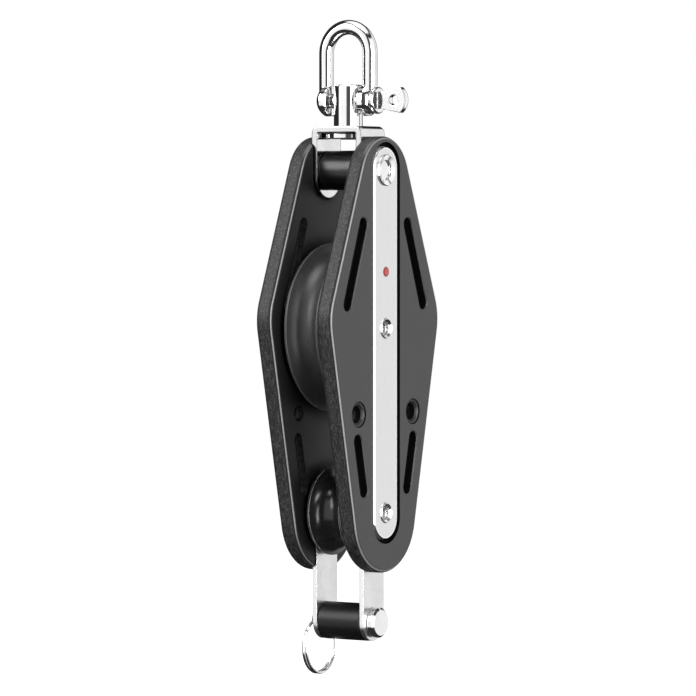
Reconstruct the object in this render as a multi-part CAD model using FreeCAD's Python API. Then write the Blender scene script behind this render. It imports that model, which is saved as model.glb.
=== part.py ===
import FreeCAD, Part
import math
import os

# Fiddle block: two rope sheaves of different size, one under the other, between two long
# cheeks. A swivelling shackle hangs the block from its head, and a becket under its foot
# takes the dead end of the rope. All lengths are in millimetres.
#
# +Z is up. +X runs along the sheave axles, from the left cheek to the right cheek. The
# origin is the point inside the crown of the shackle bow where the load hangs.

# Levels, each measured down from the one before
crown_to_shackle_pin = 27.5
shackle_pin_to_head_pin = 28.9
head_pin_to_upper_axle = 65.4
upper_axle_to_lower_axle = 76.5
lower_axle_to_becket_pin = 45.8

# Shackle
bow_bar = 6.1
bow_inside = 15.7
bow_eye = 12.7
bow_eye_width = 5.85
bow_eye_ball = 14.4
bow_eye_seat = 7.0
bow_eye_chamfer = 0.5
bow_eye_proud = 0.2
bow_spot_face = 12.6
shackle_pin_diameter = 6.0
shackle_collar = 11.2
shackle_collar_width = 1.9
shackle_collar_edge = 0.5
shackle_tab_thickness = 2.6
shackle_tab_width = 10.6
shackle_tab_neck = 6.4
shackle_tab_reach = 13.5
shackle_tab_corner = 2.6
shackle_tab_hole = 4.3
shackle_tab_hole_in = 5.7

# Swivel
post_diameter = 12.0
post_above_pin = 6.6
post_edge = 0.5
swivel_flange_diameter = 18.4
swivel_flange_thickness = 2.1
swivel_washer_thickness = 0.7

# Cheeks
cheek_thickness = 7.7
cheek_gap = 22.2
cheek_half_width = 40.9
cheek_side_radius = 23.1
cheek_widest_above_upper_axle = 3.2
cheek_head_radius = 18.5
cheek_head_below_pin = 4.5
cheek_foot_radius = 23.5
cheek_foot_below_axle = 1.4
cheek_edge_round = 1.9
slot_width = 5.6
slot_chamfer = 0.45
upper_slot_high = (16.6, 43.0)
upper_slot_low = (28.5, 10.2)
lower_slot_high = (20.8, 30.3)
lower_slot_low = (16.3, 9.9)
bolt_hole = 7.0
bolt_hole_chamfer = 1.1
bolt_hole_face = 10.8
bolt_hole_face_depth = 0.4
bolt_hole_side = 20.4
bolt_hole_below_upper_axle = 35.1

# Straps let into the outer faces of the cheeks
strap_width = 17.4
strap_thickness = 2.3
strap_chamfer = 0.45
strap_gap = 1.9
strap_above_head_pin = 9.75
strap_below_lower_axle = 11.0

# Head bracket, a strip bent to an upside-down U
bracket_strip = 2.5
bracket_width = 18.0
bracket_outside = 24.4
bracket_bend = 3.2
bracket_top_above_pin = 18.3
bracket_below_pin = 11.4
pocket_gap = 0.9

# Head pin and its bush
head_pin_diameter = 11.0
head_pin_neck = 10.2
head_pin_head = 13.1
head_pin_proud = 0.8
head_pin_hole = 8.4
head_pin_hole_depth = 1.6
head_bush_diameter = 16.5

# Sheaves
sheave_width = 17.0
upper_sheave_diameter = 70.4
lower_sheave_diameter = 37.0
groove_depth = 6.0
groove_half_width = 7.3
rim_edge = 0.4
upper_hub_diameter = 30.0
lower_hub_diameter = 25.6
web_recess = 2.2
upper_rim_wall = 4.4
lower_groove_wall = 2.4
axle_diameter = 10.0
axle_neck = 7.0
axle_head = 8.6
axle_proud = 0.5
axle_hole = 5.6
axle_hole_depth = 2.4
sleeve_wall = 2.5
bearing_wall = 2.5
thrust_washer_thickness = 0.9

# Pin ends, flared into the straps round a blind hole
pin_end_round = 0.35
flare_rim = 0.5
flare_depth = 0.8

# Becket
becket_strip = 1.9
becket_width = 15.4
becket_outside = 25.2
becket_roller_diameter = 15.6
clevis_pin_diameter = 8.0
clevis_head = 12.5
clevis_head_width = 3.8
clevis_head_chamfer = 0.9
clevis_end_past_leg = 3.6
ring_wire = 1.2
ring_radius = 11.3
ring_pitch = 1.55
ring_hole = 2.2
ring_out_from_leg = 1.9
ring_turn = 495.0
ring_first_end = 270.0

# Clearances, and how far a cut runs past what it cuts
running_gap = 0.05
side_play = 0.15
seat_gap = 0.05
past = 1.0

# Levels in the part's own frame
shackle_pin_z = -crown_to_shackle_pin
head_pin_z = shackle_pin_z - shackle_pin_to_head_pin
upper_axle_z = head_pin_z - head_pin_to_upper_axle
lower_axle_z = upper_axle_z - upper_axle_to_lower_axle
becket_pin_z = lower_axle_z - lower_axle_to_becket_pin

# Places across the block, measured along +X from its middle
cheek_in = cheek_gap / 2
cheek_out = cheek_in + cheek_thickness
strap_in = cheek_out - strap_thickness
bracket_out = bracket_outside / 2
bracket_in = bracket_out - bracket_strip
becket_out = becket_outside / 2
becket_in = becket_out - becket_strip
bow_in = bow_inside / 2
bow_leg = bow_in + bow_bar / 2
eye_in = bow_in - bow_eye_proud
eye_out = eye_in + bow_eye_width
ring_x = -(becket_out + ring_out_from_leg)

# Fits
sleeve_diameter = axle_diameter + 2 * running_gap + 2 * sleeve_wall
bearing_bore = sleeve_diameter + 2 * running_gap
bearing_diameter = bearing_bore + 2 * bearing_wall

# Radii of the grooves' bottoms: the small sheave keeps a wall over its bearing
upper_groove_bottom = upper_sheave_diameter / 2 - groove_depth
lower_groove_bottom = bearing_diameter / 2 + lower_groove_wall


def vec(x, y, z):
    return FreeCAD.Vector(x, y, z)


def rod(radius, x_from, x_to, z, y=0.0):
    """A round bar along X."""
    return Part.makeCylinder(radius, x_to - x_from, vec(x_from, y, z), vec(1, 0, 0))


def tube(outer, inner, x_from, x_to, z):
    """A round tube along X, given by its radii."""
    return rod(outer, x_from, x_to, z).cut(rod(inner, x_from - past, x_to + past, z))


def box(x, y, z):
    """A block given by its two limits along each axis."""
    return Part.makeBox(x[1] - x[0], y[1] - y[0], z[1] - z[0], vec(x[0], y[0], z[0]))


def turned(outline, z):
    """A piece turned about the line along X at level z, from (x, radius) points."""
    points = [vec(x, 0, z + radius) for x, radius in outline]
    face = Part.Face(Part.makePolygon(points + points[:1]))
    return face.revolve(vec(0, 0, z), vec(1, 0, 0), 360)


def band(circles):
    """The wire of a belt drawn tight round circles (y, z, radius), given counter-clockwise."""
    count = len(circles)
    normals = []
    for i in range(count):
        y1, z1, r1 = circles[i]
        y2, z2, r2 = circles[(i + 1) % count]
        reach = math.hypot(y2 - y1, z2 - z1)
        normals.append(math.atan2(z2 - z1, y2 - y1) - math.acos((r1 - r2) / reach))
    edges = []
    for i in range(count):
        start = normals[i - 1]
        sweep = (normals[i] - start) % (2 * math.pi)
        y, z, r = circles[i]
        arc = [vec(0, y + r * math.cos(a), z + r * math.sin(a))
               for a in (start, start + sweep / 2, start + sweep)]
        edges.append(Part.Arc(*arc).toShape())
        y2, z2, r2 = circles[(i + 1) % count]
        leave = vec(0, y2 + r2 * math.cos(normals[i]), z2 + r2 * math.sin(normals[i]))
        edges.append(Part.makeLine(arc[2], leave))
    return Part.Wire(edges)


def plate(circles, x_from, x_to):
    """A flat plate between two places along X, its outline a belt round the circles."""
    wire = band(circles)
    wire.translate(vec(x_from, 0, 0))
    return Part.Face(wire).extrude(vec(x_to - x_from, 0, 0))


def edges_on(shape, planes):
    """The edges of a piece that lie in the given planes across X."""
    def on_plane(edge):
        bounds = edge.BoundBox
        return any(abs(bounds.XMin - x) < 1e-6 and abs(bounds.XMax - x) < 1e-6 for x in planes)
    return [edge for edge in shape.Edges if on_plane(edge)]


def chamfered(plate_shape, size, plane):
    """Bevels the outline of a plate where it meets a plane across X."""
    return plate_shape.makeChamfer(size, edges_on(plate_shape, (plane,)))


def other_side(shape):
    """The same piece on the left of the block."""
    return shape.mirror(vec(0, 0, 0), vec(1, 0, 0))


def strap_circles(grow):
    """The strap's two end arcs, grown all round by a distance."""
    radius = strap_width / 2
    high = head_pin_z + strap_above_head_pin - radius
    low = lower_axle_z - strap_below_lower_axle + radius
    return [(0, low, radius + grow), (0, high, radius + grow)]


def bracket_leg_circles(grow, top):
    """A leg of the head bracket, from its round end up past a level."""
    radius = bracket_width / 2
    low = head_pin_z - bracket_below_pin + radius
    return [(0, low, radius + grow), (0, top, radius + grow)]


def becket_leg_circles(grow, low):
    """A becket leg, from its round end at the lower axle down to a level."""
    radius = becket_width / 2
    return [(0, low, radius + grow), (0, lower_axle_z, radius + grow)]


def cheek_slots():
    """The cuts for four slots, two beside each sheave, bevelled on the outside."""
    radius = slot_width / 2
    bevel_from = cheek_out - slot_chamfer
    cuts = []
    for axle_z, high, low in ((upper_axle_z, upper_slot_high, upper_slot_low),
                              (lower_axle_z, lower_slot_high, lower_slot_low)):
        for side in (-1, 1):
            ends = [(side * y, axle_z + z, radius) for y, z in (low, high)]
            wide = [(y, z, radius + slot_chamfer) for y, z, radius in ends]
            cuts.append(plate(ends, cheek_in - past, cheek_out + past))
            cuts.append(chamfered(plate(wide, bevel_from, cheek_out + past), slot_chamfer, bevel_from))
    return cuts


def bolt_hole_cuts():
    """The two holes through the cheek, each faced and bevelled on the outside."""
    z = upper_axle_z - bolt_hole_below_upper_axle
    floor = cheek_out - bolt_hole_face_depth
    radius = bolt_hole / 2
    cuts = []
    for y in (-bolt_hole_side, bolt_hole_side):
        cuts.append(rod(radius, cheek_in - past, cheek_out + past, z, y))
        cuts.append(rod(bolt_hole_face / 2, floor, cheek_out + past, z, y))
        cuts.append(Part.makeCone(radius, radius + bolt_hole_chamfer, bolt_hole_chamfer,
                                  vec(floor - bolt_hole_chamfer, y, z), vec(1, 0, 0)))
    return cuts


def right_cheek():
    widest = upper_axle_z + cheek_widest_above_upper_axle
    side = cheek_half_width - cheek_side_radius
    outline = [(0, lower_axle_z - cheek_foot_below_axle, cheek_foot_radius),
               (side, widest, cheek_side_radius),
               (0, head_pin_z - cheek_head_below_pin, cheek_head_radius),
               (-side, widest, cheek_side_radius)]
    body = plate(outline, cheek_in, cheek_out)
    body = body.makeFillet(cheek_edge_round, edges_on(body, (cheek_in, cheek_out)))
    past_head = head_pin_z + cheek_head_radius
    past_foot = lower_axle_z - cheek_foot_below_axle - cheek_foot_radius
    cuts = [plate(strap_circles(strap_gap), strap_in, cheek_out + past),
            plate(bracket_leg_circles(pocket_gap, past_head), cheek_in - past, bracket_out + seat_gap),
            plate(becket_leg_circles(pocket_gap, past_foot), cheek_in - past, becket_out + seat_gap),
            rod(head_pin_diameter / 2 + seat_gap, cheek_in - past, cheek_out, head_pin_z)]
    for z in (upper_axle_z, lower_axle_z):
        cuts.append(rod(axle_diameter / 2 + seat_gap, cheek_in - past, cheek_out, z))
    return body.cut(cuts + cheek_slots() + bolt_hole_cuts())


def flared_hole(neck, head, z):
    """The cut for a pin end that is formed over in the strap."""
    return turned([(strap_in - past, 0), (strap_in - past, neck / 2), (strap_in, neck / 2),
                   (cheek_out, head / 2), (cheek_out + past, head / 2), (cheek_out + past, 0)], z)


def right_strap():
    body = chamfered(plate(strap_circles(0), strap_in, cheek_out), strap_chamfer, cheek_out)
    holes = [flared_hole(head_pin_neck, head_pin_head, head_pin_z)]
    for z in (upper_axle_z, lower_axle_z):
        holes.append(flared_hole(axle_neck, axle_head, z))
    return body.cut(holes)


def flared_pin(diameter, neck, head, proud, hole, hole_depth, z):
    """A pin with a shoulder at each strap and hollow ends flared outwards in the straps."""
    end = cheek_out + proud
    half = [(strap_in, diameter / 2), (strap_in, neck / 2), (cheek_out, head / 2),
            (end - pin_end_round, head / 2), (end, head / 2 - pin_end_round),
            (end, head / 2 - flare_rim), (end - flare_depth, hole / 2),
            (end - hole_depth, hole / 2), (end - hole_depth, 0)]
    return turned([(-x, radius) for x, radius in reversed(half)] + half, z)


def head_bracket():
    top = head_pin_z + bracket_top_above_pin
    low = head_pin_z - bracket_below_pin
    half = bracket_width / 2

    def along_strip(shape, radius):
        """Rounds the two long upper edges of a block."""
        def is_bend(edge):
            bounds = edge.BoundBox
            return bounds.YLength > half and bounds.ZMin > head_pin_z
        return shape.makeFillet(radius, [edge for edge in shape.Edges if is_bend(edge)])

    outer = along_strip(box((-bracket_out, bracket_out), (-half, half), (low, top)), bracket_bend)
    inner = along_strip(box((-bracket_in, bracket_in), (-half - past, half + past),
                            (low - past, top - bracket_strip)), bracket_bend - bracket_strip)
    past_top = top + bracket_width
    round_ends = plate(bracket_leg_circles(0, past_top), -bracket_out - past, bracket_out + past)
    strip = outer.cut(inner).common(round_ends)
    across = bracket_out + past
    pin_hole = rod(head_pin_diameter / 2 + seat_gap, -across, across, head_pin_z)
    post_hole = Part.makeCylinder(post_diameter / 2 + running_gap, bracket_strip + 2 * past,
                                  vec(0, 0, top - bracket_strip - past))
    return strip.cut([pin_hole, post_hole])


def bush(outer, bore, length, z):
    """A plain tube that turns on a pin, its edges broken."""
    edge = rim_edge
    half = length / 2
    return turned([(-half, bore / 2), (-half, outer / 2 - edge), (edge - half, outer / 2),
                   (half - edge, outer / 2), (half, outer / 2 - edge), (half, bore / 2)], z)


def swivel_levels():
    """The levels of the swivel under the bridge: washer top, flange top, flange bottom."""
    washer_top = head_pin_z + bracket_top_above_pin - bracket_strip - seat_gap
    flange_top = washer_top - swivel_washer_thickness - seat_gap
    return washer_top, flange_top, flange_top - swivel_flange_thickness


def swivel_post():
    flange_top, flange_low = swivel_levels()[1:]
    top = shackle_pin_z + post_above_pin
    radius = post_diameter / 2
    wide = swivel_flange_diameter / 2
    outline = [(0, flange_low), (wide - post_edge, flange_low), (wide, flange_low + post_edge),
               (wide, flange_top), (radius, flange_top), (radius, top - post_edge),
               (radius - post_edge, top), (0, top)]
    points = [vec(r, 0, z) for r, z in outline]
    face = Part.Face(Part.makePolygon(points + points[:1]))
    post = face.revolve(vec(0, 0, 0), vec(0, 0, 1), 360)
    cross = rod(shackle_pin_diameter / 2 + running_gap, -post_diameter, post_diameter, shackle_pin_z)
    return post.cut(cross)


def swivel_washer():
    washer_top = swivel_levels()[0]
    low = vec(0, 0, washer_top - swivel_washer_thickness)
    disc = Part.makeCylinder(swivel_flange_diameter / 2 - post_edge, swivel_washer_thickness, low)
    return disc.cut(Part.makeCylinder(post_diameter / 2 + running_gap, swivel_washer_thickness, low))


def shackle_eye():
    """The right eye of the bow, a barrel whose outer side is part of a ball."""
    barrel = turned([(eye_in, 0), (eye_in, bow_eye / 2 - bow_eye_chamfer),
                     (eye_in + bow_eye_chamfer, bow_eye / 2), (eye_out, bow_eye / 2),
                     (eye_out, 0)], shackle_pin_z)
    radius = bow_eye_ball / 2
    middle = eye_out - math.sqrt(radius ** 2 - (bow_eye_seat / 2) ** 2)
    return barrel.common(Part.makeSphere(radius, vec(middle, 0, shackle_pin_z)))


def shackle_bow():
    bar = bow_bar / 2
    spring = -bow_leg + bar
    section = Part.Face(Part.Wire(Part.makeCircle(bar, vec(-bow_leg, 0, spring), vec(0, 0, 1))))
    bow = section.revolve(vec(0, 0, spring), vec(0, 1, 0), 180)
    leg = Part.makeCylinder(bar, spring - shackle_pin_z, vec(bow_leg, 0, shackle_pin_z))
    # The legs stand out past the eyes, and a spot face there makes room for the pin's collar.
    spot_face = rod(bow_spot_face / 2, eye_out, eye_out + bow_bar, shackle_pin_z)
    side = leg.cut(spot_face).fuse(shackle_eye())
    hole = rod(shackle_pin_diameter / 2 + seat_gap, -eye_out - past, eye_out + past, shackle_pin_z)
    return bow.fuse([side, other_side(side)]).cut(hole).removeSplitter()


def shackle_tab(x_from):
    """The pin's flat tab, wider outwards, with a rounded end and a hole."""
    half = shackle_tab_thickness / 2
    neck = shackle_tab_neck / 2
    wide = shackle_tab_width / 2
    end = x_from + shackle_tab_reach
    corner = end - shackle_tab_corner

    def place(x, z):
        return vec(x, -half, shackle_pin_z + z)
    # The tab starts inside the collar, so that the two join in more than a plane.
    start = x_from - shackle_collar_edge
    sides = Part.makePolygon([place(corner, -wide), place(start, -neck), place(start, neck),
                              place(corner, wide)])
    tip = Part.Arc(place(corner, wide), place(end, 0), place(corner, -wide)).toShape()
    face = Part.Face(Part.Wire(sides.Edges + [tip]))
    hole = Part.makeCylinder(shackle_tab_hole / 2, 2 * shackle_tab_thickness,
                             vec(end - shackle_tab_hole_in, -shackle_tab_thickness, shackle_pin_z),
                             vec(0, 1, 0))
    return face.extrude(vec(0, shackle_tab_thickness, 0)).cut(hole)


def shackle_pin():
    radius = shackle_pin_diameter / 2
    collar_from = eye_out + seat_gap
    collar_to = collar_from + shackle_collar_width
    collar = shackle_collar / 2
    end_edge = bow_eye_chamfer
    edge = shackle_collar_edge
    pin = turned([(-eye_out, 0), (-eye_out, radius - end_edge), (end_edge - eye_out, radius),
                  (collar_from, radius), (collar_from, collar - edge),
                  (collar_from + edge, collar), (collar_to - edge, collar),
                  (collar_to, collar - edge), (collar_to, 0)], shackle_pin_z)
    return pin.fuse(shackle_tab(collar_to)).removeSplitter()


def sheave(diameter, bottom, hub_diameter, hub_half, rim_wall, z):
    """A grooved wheel, its groove's bottom given by its radius, with a recessed web."""
    rim = diameter / 2
    half = sheave_width / 2
    hub = hub_diameter / 2
    under_rim = bottom - rim_wall
    bore = bearing_diameter / 2
    web = half - web_recess
    corner = vec(groove_half_width, 0, z + rim)
    groove = Part.Arc(vec(-groove_half_width, 0, z + rim), vec(0, 0, z + bottom), corner)
    side = [(groove_half_width, rim), (half - rim_edge, rim), (half, rim - rim_edge),
            (half, under_rim), (web, under_rim - web_recess / 2), (web, hub),
            (hub_half, hub), (hub_half, bore)]
    if under_rim - web_recess / 2 <= hub:
        side = side[:3] + [(half, hub)] + side[6:]
    outline = side + [(-x, radius) for x, radius in reversed(side)]
    points = [vec(x, 0, z + radius) for x, radius in outline]
    edges = [Part.makeLine(a, b) for a, b in zip(points, points[1:])] + [groove.toShape()]
    face = Part.Face(Part.Wire(Part.__sortEdges__(edges)))
    return face.revolve(vec(0, 0, z), vec(1, 0, 0), 360)


def bearing_stack(name, end, hub_diameter, z):
    """The sleeve, bearing and thrust washers that carry a sheave between two flat faces."""
    washer_in = end - seat_gap - thrust_washer_thickness
    washer = tube(hub_diameter / 2, sleeve_diameter / 2 + running_gap, washer_in, end - seat_gap, z)
    hub_half = washer_in - side_play
    return {
        name + "_sleeve": tube(sleeve_diameter / 2, axle_diameter / 2 + running_gap,
                               seat_gap - end, end - seat_gap, z),
        name + "_bearing": tube(bearing_diameter / 2, bearing_bore / 2, -hub_half, hub_half, z),
        name + "_washer_right": washer,
        name + "_washer_left": other_side(washer),
        name + "_axle": flared_pin(axle_diameter, axle_neck, axle_head, axle_proud,
                                   axle_hole, axle_hole_depth, z),
    }


def hub_half_width(end):
    """Half the width of a sheave's hub between two flat faces."""
    return end - seat_gap - thrust_washer_thickness - side_play


def right_becket_leg():
    body = plate(becket_leg_circles(0, becket_pin_z), becket_in, becket_out)
    holes = [rod(axle_diameter / 2 + seat_gap, becket_in - past, becket_out + past, lower_axle_z),
             rod(clevis_pin_diameter / 2 + seat_gap, becket_in - past, becket_out + past, becket_pin_z)]
    return body.cut(holes)


def clevis_pin():
    radius = clevis_pin_diameter / 2
    head = clevis_head / 2
    head_in = becket_out + seat_gap
    head_out = head_in + clevis_head_width
    end = -(becket_out + clevis_end_past_leg)
    edge = clevis_head_chamfer
    pin = turned([(end, 0), (end, radius - edge), (end + edge, radius), (head_in, radius),
                  (head_in, head - edge), (head_in + edge, head), (head_out - edge, head),
                  (head_out, head - edge), (head_out, 0)], becket_pin_z)
    hole = Part.makeCylinder(ring_hole / 2, 2 * clevis_pin_diameter,
                             vec(ring_x, -clevis_pin_diameter, becket_pin_z), vec(0, 1, 0))
    return pin.cut(hole)


def split_ring():
    """A wire coil of more than one turn, hung by its single top strand in the pin's hole."""
    height = ring_pitch * ring_turn / 360
    left_handed = True
    helix = Part.makeHelix(ring_pitch, height, ring_radius, 0, left_handed)
    rise = ring_pitch / (2 * math.pi * ring_radius)
    circle = Part.Wire(Part.makeCircle(ring_wire / 2, vec(ring_radius, 0, 0), vec(0, -1, rise)))
    coil = Part.Wire(helix).makePipeShell([circle], True, True)
    coil.rotate(vec(0, 0, 0), vec(0, 0, 1), ring_first_end)
    coil.translate(vec(0, 0, -ring_pitch * ring_first_end / 360))
    # The coil's axis turns to point along -X, and its top strand to point up. That strand is
    # curved, so its middle sits as far above the hole's middle as its ends sit below.
    coil.rotate(vec(0, 0, 0), vec(0, 1, 0), -90)
    pin_half = clevis_pin_diameter / 2
    sag = ring_radius - math.sqrt(ring_radius ** 2 - pin_half ** 2)
    coil.translate(vec(ring_x, 0, becket_pin_z - ring_radius + sag / 2))
    return coil


def all_parts():
    cheek = right_cheek()
    strap = right_strap()
    leg = right_becket_leg()
    bracket_bore = head_pin_diameter + 2 * running_gap
    roller_bore = clevis_pin_diameter + 2 * running_gap
    parts = {
        "right_cheek": cheek,
        "left_cheek": other_side(cheek),
        "right_strap": strap,
        "left_strap": other_side(strap),
        "head_bracket": head_bracket(),
        "head_pin": flared_pin(head_pin_diameter, head_pin_neck, head_pin_head, head_pin_proud,
                               head_pin_hole, head_pin_hole_depth, head_pin_z),
        "head_bush": bush(head_bush_diameter, bracket_bore, 2 * (bracket_in - side_play), head_pin_z),
        "swivel_post": swivel_post(),
        "swivel_washer": swivel_washer(),
        "shackle_bow": shackle_bow(),
        "shackle_pin": shackle_pin(),
        "upper_sheave": sheave(upper_sheave_diameter, upper_groove_bottom, upper_hub_diameter,
                               hub_half_width(cheek_in), upper_rim_wall, upper_axle_z),
        "lower_sheave": sheave(lower_sheave_diameter, lower_groove_bottom, lower_hub_diameter,
                               hub_half_width(becket_in), 0, lower_axle_z),
        "becket_leg_right": leg,
        "becket_leg_left": other_side(leg),
        "becket_roller": bush(becket_roller_diameter, roller_bore,
                              2 * (becket_in - side_play), becket_pin_z),
        "clevis_pin": clevis_pin(),
        "split_ring": split_ring(),
    }
    parts.update(bearing_stack("upper", cheek_in, upper_hub_diameter, upper_axle_z))
    parts.update(bearing_stack("lower", becket_in, lower_hub_diameter, lower_axle_z))
    return parts


os.makedirs("parts", exist_ok=True)
for node, shape in all_parts().items():
    print(f"{node:20s} solids {len(shape.Solids)} valid {shape.isValid()} volume {shape.Volume:.1f}")
    shape.exportStep("parts/" + node + ".step")
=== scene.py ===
# %% [markdown]
# # A fiddle block in a white studio
#
# This lesson dresses a boat's fiddle block: two black cheeks with a large and a small rope
# sheave between them, hung from a polished swivel shackle. The solids come from a CAD model
# and keep their shapes. What is made here is what CAD leaves out: the finish of every
# surface, the light that shows it, the camera, and a small enamel dot in the strap.
#
# All lengths are in metres. +Z is up, and +X runs along the sheaves' axles towards the
# cheek that faces the camera.

# %% Load the solids and keep their box
import math

import bpy
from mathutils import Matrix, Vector


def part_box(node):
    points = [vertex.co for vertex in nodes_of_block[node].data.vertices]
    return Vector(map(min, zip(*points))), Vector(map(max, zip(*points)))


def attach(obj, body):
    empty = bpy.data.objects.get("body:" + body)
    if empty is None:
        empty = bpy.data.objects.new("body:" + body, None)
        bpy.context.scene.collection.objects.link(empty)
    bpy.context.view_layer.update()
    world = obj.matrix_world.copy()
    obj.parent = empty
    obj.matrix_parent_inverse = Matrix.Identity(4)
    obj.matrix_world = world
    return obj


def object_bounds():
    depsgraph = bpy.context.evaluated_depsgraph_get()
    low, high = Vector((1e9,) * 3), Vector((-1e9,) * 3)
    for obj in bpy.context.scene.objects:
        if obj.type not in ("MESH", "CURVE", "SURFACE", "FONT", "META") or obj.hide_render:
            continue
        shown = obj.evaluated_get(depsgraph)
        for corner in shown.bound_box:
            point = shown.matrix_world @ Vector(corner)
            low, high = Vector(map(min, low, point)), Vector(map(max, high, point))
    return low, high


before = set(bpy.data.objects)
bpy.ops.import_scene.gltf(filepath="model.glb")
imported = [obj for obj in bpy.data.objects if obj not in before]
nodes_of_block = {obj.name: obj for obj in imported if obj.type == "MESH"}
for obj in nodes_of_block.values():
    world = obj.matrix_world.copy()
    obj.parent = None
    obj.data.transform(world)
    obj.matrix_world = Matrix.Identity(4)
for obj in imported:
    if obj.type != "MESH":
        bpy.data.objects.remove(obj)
cad_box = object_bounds()
print(f"{len(nodes_of_block)} solids, box {cad_box}")


def middle(node):
    """The middle of a solid's box."""
    low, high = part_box(node)
    return (low + high) / 2


upper_axle = middle("upper_axle")
lower_axle = middle("lower_axle")
head_pin = middle("head_pin")
clevis_pin = middle("clevis_pin")
strap_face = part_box("right_strap")[1].x
print(f"upper axle at {upper_axle.z:.4f}, lower axle at {lower_axle.z:.4f}")

# %% [markdown]
# ## Shader maths written as Python
#
# A material is a graph of nodes. Wiring one by hand takes a line for every link, and the
# idea gets lost. So one small class wraps a node's output and lets Python's own signs add
# the Math nodes: `1 - mask` or `grain * 0.2` read as what they mean. A second class adds
# every other node, from its type, its settings, and the values or links of its sockets.

# %% A socket that takes part in sums
class Value:
    """One output of a node. Sums with it add Math nodes to the same tree."""

    def __init__(self, graph, socket):
        self.graph = graph
        self.socket = socket

    def math(self, operation, *others):
        """A Math node over this value and others."""
        return self.graph.add("Math", {"operation": operation}, dict(enumerate((self, *others))))

    def reflected(self, operation, first):
        """A Math node in which a plain number comes before this value."""
        return self.graph.add("Math", {"operation": operation}, {0: first, 1: self})

    def output(self, name):
        """Another output of the same node."""
        return Value(self.graph, self.socket.node.outputs[name])

    def __add__(self, other):
        return self.math("ADD", other)

    __radd__ = __add__

    def __sub__(self, other):
        return self.math("SUBTRACT", other)

    def __rsub__(self, other):
        return self.reflected("SUBTRACT", other)

    def __mul__(self, other):
        return self.math("MULTIPLY", other)

    __rmul__ = __mul__

    def __truediv__(self, other):
        return self.math("DIVIDE", other)

    def __neg__(self):
        return self.math("MULTIPLY", -1.0)

    def __abs__(self):
        return self.math("ABSOLUTE")


print("values take +, -, *, / and abs")

# %% A graph that adds nodes
class Graph:
    """Adds nodes to one material's or world's tree."""

    def __init__(self, tree):
        self.tree = tree
        tree.nodes.clear()

    def add(self, kind, settings=None, inputs=None, output=0):
        """A node, with its settings, its sockets' values or links, and the output wanted."""
        node = self.tree.nodes.new("ShaderNode" + kind)
        for name, value in (settings or {}).items():
            if name == "stops":
                self.set_stops(node.color_ramp, value)
            else:
                setattr(node, name, value)
        for name, value in (inputs or {}).items():
            if isinstance(value, Value):
                self.tree.links.new(value.socket, node.inputs[name])
            else:
                node.inputs[name].default_value = value
        return Value(self, node.outputs[output]) if node.outputs else None

    def set_stops(self, ramp, stops):
        """Puts (place, brightness) stops on a ramp, in order."""
        while len(ramp.elements) > 1:
            ramp.elements.remove(ramp.elements[-1])
        for index, (place, level) in enumerate(stops):
            element = ramp.elements[0] if index == 0 else ramp.elements.new(place)
            element.position = place
            element.color = grey(level)

    def step(self, value, low, high):
        """0 below low, 1 above high, and smooth between."""
        return self.add("MapRange", {"interpolation_type": "SMOOTHSTEP"},
                        {"Value": value, "From Min": low, "From Max": high})

    def mix(self, factor, a, b):
        """A colour between two colours."""
        return self.add("Mix", {"data_type": "RGBA"}, {0: factor, 6: a, 7: b}, 2)

    def stretch(self, place, scale, shift=(0, 0, 0), turn=(0, 0, 0)):
        """A place moved, turned and scaled for a pattern."""
        return self.add("Mapping", None, {"Vector": place, "Location": shift,
                                          "Rotation": turn, "Scale": scale})

    def noise(self, place, scale, detail=2.0, roughness=0.5):
        """Noise between 0 and 1. The scale is in lumps to the metre."""
        return self.add("TexNoise", None, {"Vector": place, "Scale": scale, "Detail": detail,
                                           "Roughness": roughness})

    def bump(self, height, distance, normal=None):
        """A normal that leans with a height, whose unit is a distance in metres."""
        inputs = {"Height": height, "Distance": distance}
        if normal is not None:
            inputs["Normal"] = normal
        return self.add("Bump", None, inputs)


def grey(level):
    """A colour without hue."""
    return (level, level, level, 1)


print("shader helpers ready")

# %% [markdown]
# ## What every finish shares
#
# No real edge is sharp. Two things show that: a narrow highlight where the edge is broken,
# and a change of tone along it, which is painted light here. The Bevel node answers
# both. It looks round the point that is shaded and gives the normal of a rounded edge there.
# Fed to Normal it makes the highlight, and where it leans away from the true normal is a mask:
# on it some steel edges get a painted dark reflection, and the sheaves' rims a painted highlight.
#
# The opposite of an edge is a slot or a recess. The Ambient Occlusion node feels for walls
# near by, and gives a mask for those, on which shade is painted.

# %% Start a material
usual_edge = 0.0003
fine_edge = 0.0002


def new_finish(name):
    """An empty material, its graph, and the place on the piece that is shaded."""
    material = bpy.data.materials.new(name)
    material.use_nodes = True
    graph = Graph(material.node_tree)
    place = graph.add("TexCoord", None, None, "Object")
    return material, graph, place


def soft_edges(graph, radius):
    """The normal of a surface whose edges are rounded to a radius."""
    return graph.add("Bevel", {"samples": 6}, {"Radius": radius})


def edge_mask(graph, rounded):
    """A mask that is 1 where a rounded normal leans away from the true one."""
    true = graph.add("NewGeometry", None, None, "Normal")
    facing = graph.add("VectorMath", {"operation": "DOT_PRODUCT"}, {0: rounded, 1: true}, "Value")
    return graph.step(1 - facing, 0.004, 0.05)


def facing_x(graph):
    """1 where the surface looks along X, and 0 where it looks across it."""
    normal = graph.add("TexCoord", None, None, "Normal")
    return abs(graph.add("SeparateXYZ", None, {0: normal}, "X"))


def painted_crevice_shade(graph, reach):
    """A mask for painted shade: 1 where walls closer than a reach keep the light out."""
    openness = graph.add("AmbientOcclusion", {"samples": 8}, {"Distance": reach}, "AO")
    return 1 - graph.step(openness, 0.72, 0.99)


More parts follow.
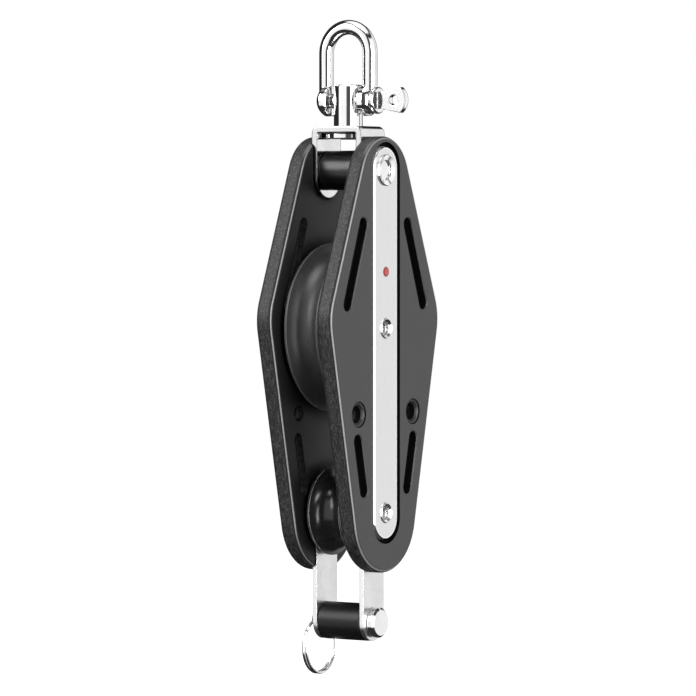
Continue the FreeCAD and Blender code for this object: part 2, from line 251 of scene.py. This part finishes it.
def close_finish(graph, painted_shade=None, **sockets):
    """Ends a graph in a Principled shader, and paints shade on it: dead black where the shade
    mask is 1.
    """
    names = {"base": "Base Color", "roughness": "Roughness", "metallic": "Metallic",
             "normal": "Normal", "coat": "Coat Weight", "coat_roughness": "Coat Roughness",
             "specular": "Specular IOR Level"}
    shader = graph.add("BsdfPrincipled", None, {names[key]: v for key, v in sockets.items()})
    if painted_shade is not None:
        # A near-black diffuse shader: the painted shade in slots and recesses.
        hollow = graph.add("BsdfDiffuse", None, {"Color": grey(0.002)})
        shader = graph.add("MixShader", None, {0: painted_shade, 1: shader, 2: hollow})
    graph.add("OutputMaterial", None, {"Surface": shader})


def round_the_pin(graph, place, axis):
    """How far a place is from a line along X, and how far along that line it is."""
    centred = graph.stretch(place, (1, 1, 1), (-axis.x, -axis.y, -axis.z))
    split = graph.add("SeparateXYZ", None, {0: centred})
    y, z = split.output("Y"), split.output("Z")
    return (y * y + z * z).math("SQRT"), split.output("X")


def paint(material, *names):
    """Gives a finish to CAD solids."""
    for name in names:
        solid = nodes_of_block[name]
        solid.data.materials.clear()
        solid.data.materials.append(material)
    print(f"{material.name}: {', '.join(names)}")


print(f"edges rounded to {usual_edge * 1000:.1f} mm, or {fine_edge * 1000:.1f} mm where fine")

# %% [markdown]
# ## The cheeks
#
# The cheeks are cut from black plastic plate. Their faces keep the plate's fine satin
# grain. Their rims were milled, so they are rougher and mottled, with cutter marks that run
# across the thickness. The two kinds of surface are told apart by the normal: on a face it
# points along X, and on the rim it does not. On the rounded edge between them it points half
# way. There the cutter left a smooth skin, painted darker as shade and dark reflection, with
# a thin painted highlight next to the face.
#
# The inner faces see each other across the sheaves, and are painted darker, as shade. The
# slots, the bores and the straps' recesses are deep and narrow, and hardly any light comes
# back out of them: painted shade makes them dead black in the outer half of the plate, and
# dark in the inner half. The bevels round the bolt holes are painted dark too, a little lighter.

# %% Where the bolt holes are bevelled
bolt_hole_side = 0.0204
bolt_hole_below_axle = 0.0351
bolt_hole_radius = 0.0035
bolt_bevel_radius = 0.0044
inner_face, outer_face = (corner.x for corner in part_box("right_cheek"))


def bolt_bevel(graph, place):
    """A mask that is 1 on the ring-shaped bevel round both bolt holes."""
    split = graph.add("SeparateXYZ", None, {0: place})
    y = abs(split.output("Y")) - bolt_hole_side
    z = split.output("Z") - (upper_axle.z - bolt_hole_below_axle)
    radius = (y * y + z * z).math("SQRT")
    past_bore = graph.step(radius, bolt_hole_radius - 0.0001, bolt_hole_radius + 0.0002)
    past_bevel = graph.step(radius, bolt_bevel_radius - 0.0002, bolt_bevel_radius + 0.0002)
    return past_bore * (1 - past_bevel)


print(f"bevels of {bolt_bevel_radius * 2000:.1f} mm, {bolt_hole_side * 2000:.1f} mm apart")

# %% Where a highlight is painted along the cheek's edge
line_strength = 0.75
line_fade_outside = 0.4


def painted_edge_highlight(graph, across, depth):
    """A mask of a narrow painted highlight along the rounded edges, next to the faces."""
    on_round = graph.step(across, 0.66, 0.76) * (1 - graph.step(across, 0.88, 0.95))
    outer = graph.step(depth, outer_face - 0.0006, outer_face - 0.0004)
    return on_round * (1 - outer * line_fade_outside) * line_strength


print(f"plate from x = {inner_face:.4f} to {outer_face:.4f}")

# %% Satin black plate with a milled rim
# How far the painted shade reaches, and where in the plate it goes from dark to black.
slot_reach = 0.008
dim_to = inner_face + 0.003
black_from = inner_face + 0.0045


def cheek_plate():
    material, graph, place = new_finish("cheek_plate")
    across = facing_x(graph)
    rim = 1 - graph.step(across, 0.25, 0.5)
    # Rounded edges and bevels: smoother, with a darker colour painted on as shade and dark
    # reflection.
    rounded_painted_dark = graph.step(across, 0.3, 0.5) * (1 - graph.step(across, 0.93, 0.99))
    grain = graph.noise(place, 2600, 3)
    speckle = graph.noise(place, 1500, 4, 0.6)
    patches = graph.noise(place, 90, 3)
    cutter = graph.noise(graph.stretch(place, (1600, 1600, 110)), 1, 3, 0.6)
    rounded = soft_edges(graph, fine_edge)
    depth = abs(graph.add("SeparateXYZ", None, {0: place}, "X"))
    # Painted shade: deep walls turn black, and in the inner half of the plate less so.
    deep = graph.step(depth, dim_to, black_from)
    dark = painted_crevice_shade(graph, slot_reach) * (0.3 + deep * 0.7)
    bevel = bolt_bevel(graph, place)
    # A painted highlight along the rounded edges.
    glint = painted_edge_highlight(graph, across, depth)
    # Painted shade on the inner faces, which look at each other across the sheaves.
    painted_inner_shade = 1 - graph.step(depth, inner_face + 0.0002, inner_face + 0.0006)
    mottle = graph.step(speckle * 0.6 + cutter * 0.4, 0.46, 0.60)
    face = graph.mix(patches, (0.028, 0.028, 0.0285, 1), (0.035, 0.0355, 0.036, 1))
    milled = graph.mix(mottle, grey(0.002), (0.052, 0.053, 0.054, 1))
    base = graph.mix(rim, face, milled)
    base = graph.mix(rounded_painted_dark * 0.8, base, grey(0.010))
    base = graph.mix(glint, base, (0.34, 0.34, 0.345, 1))
    base = graph.mix(painted_inner_shade * 0.85, base, grey(0.003))
    base = graph.mix(dark, base, grey(0.001))
    # The bolt holes' bevels are painted dark as well, as shade, but less black than the deep
    # walls.
    base = graph.mix(bevel * 0.9, base, grey(0.006))
    roughness = 0.40 + rim * (0.06 + mottle * 0.1) + grain * 0.06 - rounded_painted_dark * 0.14 + dark * 0.5
    height = grain * 0.35 + rim * (speckle * 1.8 + cutter * 1.2)
    close_finish(graph, painted_shade=dark * (1 - bevel * 0.8) * 0.85, base=base, roughness=roughness,
                 normal=graph.bump(height, 0.00002, rounded))
    return material


paint(cheek_plate(), "right_cheek", "left_cheek")

# %% [markdown]
# ## The straps
#
# Each strap is a stainless bar let into its cheek, brushed along its length. Brushing
# leaves lines that are very long one way and very fine the other, so the noise is squeezed
# across the strap and stretched along it. Its border was polished when its edges were broken,
# so near the outline the brushing fades and the steel is brighter. Its walls are as they were
# sawn, and dull.

# %% Brushed stainless
strap_low, strap_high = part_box("right_strap")
strap_radius = strap_high.y


def from_strap_line(graph, place):
    """How far a place is from the line down the strap's middle, round its ends too."""
    split = graph.add("SeparateXYZ", None, {0: place})
    y, z = split.output("Y"), split.output("Z")
    above = z - (strap_high.z - strap_radius)
    below = (strap_low.z + strap_radius) - z
    past_end = above.math("MAXIMUM", below).math("MAXIMUM", 0.0)
    return (y * y + past_end * past_end).math("SQRT")


def brushed_strap():
    material, graph, place = new_finish("brushed_strap")
    lines = graph.noise(graph.stretch(place, (5200, 5200, 45)), 1, 3, 0.6)
    fine = graph.noise(graph.stretch(place, (14000, 14000, 160)), 1, 2)
    cloud = graph.noise(place, 60, 3)
    rounded = soft_edges(graph, usual_edge)
    from_middle = from_strap_line(graph, place)
    border = graph.step(from_middle, strap_radius - 0.0012, strap_radius - 0.0006)
    side = 1 - graph.step(facing_x(graph), 0.3, 0.6)
    tone = graph.step(lines * 0.7 + fine * 0.3, 0.3, 0.7)
    base = graph.mix(tone, grey(0.89), grey(0.94))
    base = graph.mix(border, base, grey(0.97))
    roughness = 0.25 + tone * 0.03 + cloud * 0.04 - border * 0.13 + side * 0.5
    close_finish(graph, base=base, roughness=roughness, metallic=1.0,
                 normal=graph.bump(lines * 0.7 + fine * 0.3, 0.000004, rounded))
    return material


paint(brushed_strap(), "right_strap", "left_strap")

# %% [markdown]
# ## Polished steel
#
# The shackle is forged, the bracket bent from strip, and the post and pins are turned.
# All are polished bright, but not like mirrors: polishing leaves a faint waviness and the
# odd hairline. One function makes them all, with more waviness on the forging and rings of
# the lathe tool on the turned pieces. The broken edges of the bracket and of the shackle's
# pin look dark, as in the photograph, so those two have a painted dark reflection on the edge
# mask as well.

# %% Polished stainless, forged, bent or turned
def polished_steel(name, waves=0.3, turned_about=None, softness=0.05, level=0.86,
                   corner=0.00025, painted_dark_edge=0.0):
    """Bright steel. The level is its brightness, and the corner its edges' radius."""
    material, graph, place = new_finish(name)
    waviness = graph.noise(place, 260, 2)
    smear = graph.noise(place, 140, 4, 0.6)
    hairs = graph.noise(graph.stretch(place, (900, 6500, 380), turn=(0.3, 0.5, 0.2)), 1, 2)
    rounded = soft_edges(graph, corner)
    height = waviness * waves + hairs * 0.04
    if turned_about is not None:
        radius, along = round_the_pin(graph, place, turned_about)
        rings = graph.add("CombineXYZ", None, {"X": radius * 9000, "Y": along * 9000})
        height = height + graph.noise(rings, 1, 2) * 0.08
    tone = graph.step(smear, 0.35, 0.7)
    base = graph.mix(tone, grey(level), grey(level * 0.93))
    if painted_dark_edge:
        # A dark reflection painted on the edges.
        base = graph.mix(edge_mask(graph, rounded) * painted_dark_edge, base, grey(0.10))
    roughness = softness + tone * 0.05 + hairs * 0.04
    close_finish(graph, base=base, roughness=roughness, metallic=1.0,
                 normal=graph.bump(height, 0.00002, rounded))
    return material


paint(polished_steel("forged_shackle", waves=0.9, level=0.97), "shackle_bow")
paint(polished_steel("shackle_pin_steel", waves=0.6, level=0.90, corner=0.0007, painted_dark_edge=0.85),
      "shackle_pin")
paint(polished_steel("turned_post", waves=0.2, level=0.98), "swivel_post")
paint(polished_steel("bent_bracket", waves=0.5, level=0.80, corner=0.0007, painted_dark_edge=0.85),
      "head_bracket")
paint(polished_steel("head_pin_steel", turned_about=head_pin, softness=0.12, level=0.95),
      "head_pin")
paint(polished_steel("upper_axle_steel", turned_about=upper_axle, softness=0.16, level=0.95),
      "upper_axle", "upper_sleeve")
paint(polished_steel("lower_axle_steel", turned_about=lower_axle, softness=0.16, level=0.95),
      "lower_axle", "lower_sleeve")
paint(polished_steel("clevis_steel", turned_about=clevis_pin), "clevis_pin")
paint(polished_steel("spring_wire", waves=0.2, softness=0.10), "split_ring")
paint(polished_steel("becket_strip", waves=0.12, softness=0.24, level=0.92),
      "becket_leg_right", "becket_leg_left")

# %% [markdown]
# ## The sheaves
#
# Both sheaves are turned on a lathe and anodised black. The tool leaves rings about the
# axle, so the noise is read at (distance from the axle, place along it): it then varies
# across the groove and down the flank, but not round the wheel. The upper sheave is satin.
# The lower one is polished and shows hard highlights. Both rims carry a painted highlight on
# their edges.

# %% Turned and anodised sheaves
def anodised_sheave(name, axle, dark, light, softness, spread, rim):
    """Black metal between two tones. The rim is the brightness of a highlight painted on its
    edges.
    """
    material, graph, place = new_finish(name)
    radius, along = round_the_pin(graph, place, axle)
    ring_place = graph.add("CombineXYZ", None, {"X": radius, "Y": along})
    rings = graph.noise(ring_place, 5200, 3, 0.6)
    wide_rings = graph.noise(ring_place, 900, 2)
    dust = graph.noise(place, 420, 4, 0.6)
    rounded = soft_edges(graph, usual_edge)
    tone = graph.step(wide_rings * 0.5 + dust * 0.5, 0.35, 0.65)
    base = graph.mix(tone, (dark, dark, dark * 1.02, 1), (light, light * 1.01, light * 1.03, 1))
    # A painted highlight along the edges, in the rim's brightness.
    base = graph.mix(edge_mask(graph, rounded) * 0.9, base, grey(rim))
    roughness = softness + rings * spread + dust * spread
    close_finish(graph, base=base, roughness=roughness,
                 normal=graph.bump(rings * 0.6 + wide_rings * 0.4, 0.000008, rounded))
    return material


paint(anodised_sheave("satin_sheave", upper_axle, dark=0.030, light=0.040, softness=0.33,
                      spread=0.10, rim=0.24), "upper_sheave")
paint(anodised_sheave("glossy_sheave", lower_axle, dark=0.013, light=0.019, softness=0.13,
                      spread=0.08, rim=0.55), "lower_sheave")

# %% [markdown]
# ## Bushes, roller and bearings
#
# The bush in the head is smooth black plastic with shallow dents, and the becket's roller
# is the same stuff with a satin skin, as is the swivel's washer. The sheaves' bearings and
# washers are a brown bearing plastic with fibres in it.

# %% Moulded and machined plastics
def tube_plastic(name, axle, dark, light, softness, fibres, shine=0.5, dents=0.0):
    """Plastic turned about a line along X, with fibres and dents in its surface."""
    material, graph, place = new_finish(name)
    radius, along = round_the_pin(graph, place, axle)
    rings = graph.noise(graph.add("CombineXYZ", None, {"X": radius, "Y": along}), 2600, 3, 0.6)
    flecks = graph.noise(place, 1900, 3, 0.6)
    hollows = graph.noise(place, 160)
    rounded = soft_edges(graph, usual_edge)
    base = graph.mix(graph.step(flecks, 0.4, 0.65), dark, light)
    roughness = softness + rings * 0.08 + flecks * 0.04
    close_finish(graph, base=base, roughness=roughness, specular=shine,
                 normal=graph.bump(rings * 0.6 + flecks * fibres + hollows * dents, 0.00001,
                                   rounded))
    return material


dark_brown = (0.13, 0.10, 0.07, 1)
light_brown = (0.20, 0.165, 0.12, 1)

paint(tube_plastic("bush_black", head_pin, grey(0.004), grey(0.007), softness=0.24,
                   fibres=0.2, dents=14.0), "head_bush")
paint(tube_plastic("roller_black", clevis_pin, grey(0.004), grey(0.007), softness=0.32,
                   fibres=0.5, shine=0.35), "becket_roller")
paint(tube_plastic("upper_bearing_brown", upper_axle, dark_brown, light_brown, softness=0.45,
                   fibres=0.8), "upper_bearing", "upper_washer_right", "upper_washer_left")
paint(tube_plastic("lower_bearing_brown", lower_axle, dark_brown, light_brown, softness=0.45,
                   fibres=0.8), "lower_bearing", "lower_washer_right", "lower_washer_left")
paint(tube_plastic("swivel_black", head_pin, grey(0.010), grey(0.016), softness=0.40,
                   fibres=0.6), "swivel_washer")

# %% [markdown]
# ## The enamel dot
#
# A round red dot is set in the near strap, above the upper axle. It could be a patch of
# colour in the strap's material, but a real one has a rim and a domed face that catch the
# light. So it is a small disc, inset and raised in edit mode.

# %% Model the dot
def deselect_all():
    if bpy.context.object and bpy.context.object.mode != "OBJECT":
        bpy.ops.object.mode_set(mode="OBJECT")
    bpy.ops.object.select_all(action="DESELECT")


dot_radius = 0.0021
dot_above_axle = 0.0234
dot_depth = 0.0006
dot_proud = 0.00006
dot_rim_width = dot_radius * 0.12
dot_slope_width = dot_radius * 0.3
dot_rise = dot_proud * 0.6

deselect_all()
bpy.ops.mesh.primitive_cylinder_add(
    vertices=48, radius=dot_radius, depth=dot_depth,
    location=(strap_face + dot_proud - dot_depth / 2, 0, upper_axle.z + dot_above_axle),
    rotation=(0, math.pi / 2, 0))
dot = bpy.context.object
dot.name = "strap_dot"
bpy.ops.object.transform_apply(location=True, rotation=True, scale=True)
bpy.ops.object.mode_set(mode="EDIT")
bpy.ops.mesh.select_mode(type="FACE")
bpy.ops.mesh.select_all(action="DESELECT")
bpy.ops.object.mode_set(mode="OBJECT")
for face in dot.data.polygons:
    face.select = face.normal.x > 0.9
bpy.ops.object.mode_set(mode="EDIT")
for width in (dot_rim_width, dot_slope_width):
    bpy.ops.mesh.inset(thickness=width)
    bpy.ops.transform.translate(value=(dot_rise, 0, 0))
bpy.ops.object.mode_set(mode="OBJECT")
bpy.ops.object.shade_smooth_by_angle(angle=math.radians(40))
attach(dot, "block")
print(f"{dot.name}: {len(dot.data.polygons)} faces")

# %% [markdown]
# Enamel is coloured glass: a strong colour under a clear coat, with a slightly uneven
# surface. It is darker towards the rim of its recess.

# %% Red enamel
def red_enamel():
    material, graph, place = new_finish("red_enamel")
    dot_middle = Vector((0, 0, upper_axle.z + dot_above_axle))
    radius, _ = round_the_pin(graph, place, dot_middle)
    flow = graph.noise(place, 900, 3)
    base = graph.mix(flow, (0.34, 0.012, 0.014, 1), (0.46, 0.034, 0.034, 1))
    near_rim = graph.step(radius, dot_radius * 0.5, dot_radius * 0.9)
    base = graph.mix(near_rim, base, (0.16, 0.004, 0.006, 1))
    close_finish(graph, base=base, roughness=0.25 + flow * 0.1, coat=0.6, coat_roughness=0.08,
                 normal=graph.bump(flow, 0.00001))
    return material


dot.data.materials.clear()
dot.data.materials.append(red_enamel())
print(f"{dot.name}: {dot.active_material.name}")

# %% [markdown]
# ## Floor and background
#
# The photograph's background is pure white. More light would bleach the block too, so the
# white comes from the shaders: the world is white to the camera alone, and the floor adds
# some white for the camera over its own lit colour. The floor still takes the block's
# shadow. Mirror rays pass it by, because the steel is to show the studio instead.

# %% Make the floor
floor_drop = 0.07
floor_size = 40
floor_glow = 0.80

deselect_all()
floor_z = cad_box[0][2] - floor_drop
bpy.ops.mesh.primitive_plane_add(size=floor_size, location=(0, 0, floor_z))
floor = bpy.context.object
floor.name = "floor"
floor.visible_glossy = False

floor_finish, graph, place = new_finish("pale_floor")
to_camera = graph.add("LightPath", None, None, "Is Camera Ray")
paper = graph.noise(place, 300, 3)
lit = graph.add("BsdfPrincipled", None, {
    "Base Color": graph.mix(paper, grey(0.58), grey(0.62)),
    "Roughness": 0.9})
glow = graph.add("Emission", None, {"Color": grey(1), "Strength": to_camera * floor_glow})
graph.add("OutputMaterial", None, {"Surface": graph.add("AddShader", None, {0: lit, 1: glow})})
floor.data.materials.append(floor_finish)
print(f"floor at {floor_z:.3f}")

# %% [markdown]
# ## Light
#
# Steel has hardly any colour of its own: it shows the room. A studio for steel is white
# panels with dark gaps between them, and the photograph's post shows which: from left to
# right a black stripe, white, grey where the camera stood, white, a thin dark line and the
# white background. The world gives mirror rays those panels, by compass direction, and
# gives all other rays a plain even light, which is dimmer from below. Each panel edge is a
# compass angle in degrees and a brightness. Heights are sines of the angle above level.

# %% Panels for mirror rays, white for the camera
world = bpy.data.worlds.new("studio")
bpy.context.scene.world = world
world.use_nodes = True
graph = Graph(world.node_tree)
direction = graph.add("SeparateXYZ", None, {0: graph.add("TexCoord", None, None, "Generated")})
compass = direction.output("X").math("ARCTAN2", -direction.output("Y")) / math.tau + 0.5
panels = [(-180, 0.02), (-50, 0.02), (-44, 1.0), (16, 1.0), (22, 0.07), (48, 0.07), (54, 1.0),
          (131, 1.0), (135, 0.04), (140, 0.04), (143, 1.0), (171, 1.0), (177, 0.02), (180, 0.02)]
stops = [((angle + 180) / 360, level) for angle, level in panels]
walls = graph.add("ValToRGB", {"stops": stops}, {0: compass}, "Color")
height = direction.output("Z")
beside = graph.step(height, -0.5, -0.42) * (1 - graph.step(height, 0.62, 0.70))
overhead = graph.step(height, 0.80, 0.88)
dark = grey(0.03)
room = graph.mix(overhead, graph.mix(beside, dark, walls), grey(1))
to_camera = graph.add("LightPath", None, None, "Is Camera Ray")
mirror = to_camera.output("Is Glossy Ray")
even = graph.mix(graph.step(height, -0.5, 0.3), grey(0.14), grey(0.33))
plain = graph.mix(mirror, even, room)
seen = graph.mix(to_camera, plain, grey(1))
graph.add("OutputWorld", None, {"Surface": graph.add("Background", None, {"Color": seen})})
print(f"{len(panels)} panel edges")

# %% [markdown]
# The lamps are soft boxes: a tall one on the right, which draws the bright bevels, a
# weaker one on the left for the rims, and one overhead.

# %% Soft boxes
block_middle = Vector((0, 0, (cad_box[0][2] + cad_box[1][2]) / 2))


def towards(azimuth, elevation):
    """The direction from the block to a compass angle and height, both in degrees."""
    a, e = math.radians(azimuth), math.radians(elevation)
    return Vector((math.sin(a) * math.cos(e), -math.cos(a) * math.cos(e), math.sin(e)))


def soft_box(name, azimuth, elevation, distance, width, height, power):
    """A rectangular lamp that faces the block. Angles in degrees, power in watts."""
    lamp = bpy.data.lights.new(name, "AREA")
    lamp.shape = "RECTANGLE"
    lamp.size = width
    lamp.size_y = height
    lamp.energy = power
    holder = bpy.data.objects.new(name, lamp)
    bpy.context.scene.collection.objects.link(holder)
    back = towards(azimuth, elevation)
    holder.location = block_middle + back * distance
    holder.rotation_euler = back.to_track_quat("Z", "Y").to_euler()
    print(f"{name}: {power} W")


soft_box("right_box", azimuth=71, elevation=2, distance=1.3, width=0.74, height=1.3, power=26)
soft_box("left_box", azimuth=-36, elevation=28, distance=1.3, width=0.45, height=0.9, power=8)
soft_box("top_box", azimuth=20, elevation=80, distance=1.2, width=0.7, height=0.7, power=8)

# %% [markdown]
# ## Camera
#
# The photograph was taken from far off with a long lens, a little above the block and a
# third of a right angle round from its edge. The numbers come from fitting the pins,
# holes and edges of the model to their places in the photograph. The lens is shifted by a
# quarter of a pixel, which shares what is left of the fit between the two outlines.

# %% Place the camera
camera_azimuth = 33.65
camera_elevation = 1.60
camera_distance = 1.877
camera_aim = Vector((0, 0, -0.13026))
pixels_per_tangent = 4509
image_width = 696
shift_in_pixels = -0.25
far_limit = 50

lens = bpy.data.cameras.new("camera")
lens.sensor_width = 36
lens.lens = pixels_per_tangent / image_width * lens.sensor_width
lens.shift_x = shift_in_pixels / image_width
lens.clip_end = far_limit
camera = bpy.data.objects.new("camera", lens)
bpy.context.scene.collection.objects.link(camera)
back = towards(camera_azimuth, camera_elevation)
camera.location = camera_aim + back * camera_distance
camera.rotation_euler = back.to_track_quat("Z", "Y").to_euler()
bpy.context.scene.camera = camera
bpy.context.scene.view_settings.view_transform = "Standard"
print(f"lens {lens.lens:.0f} mm")
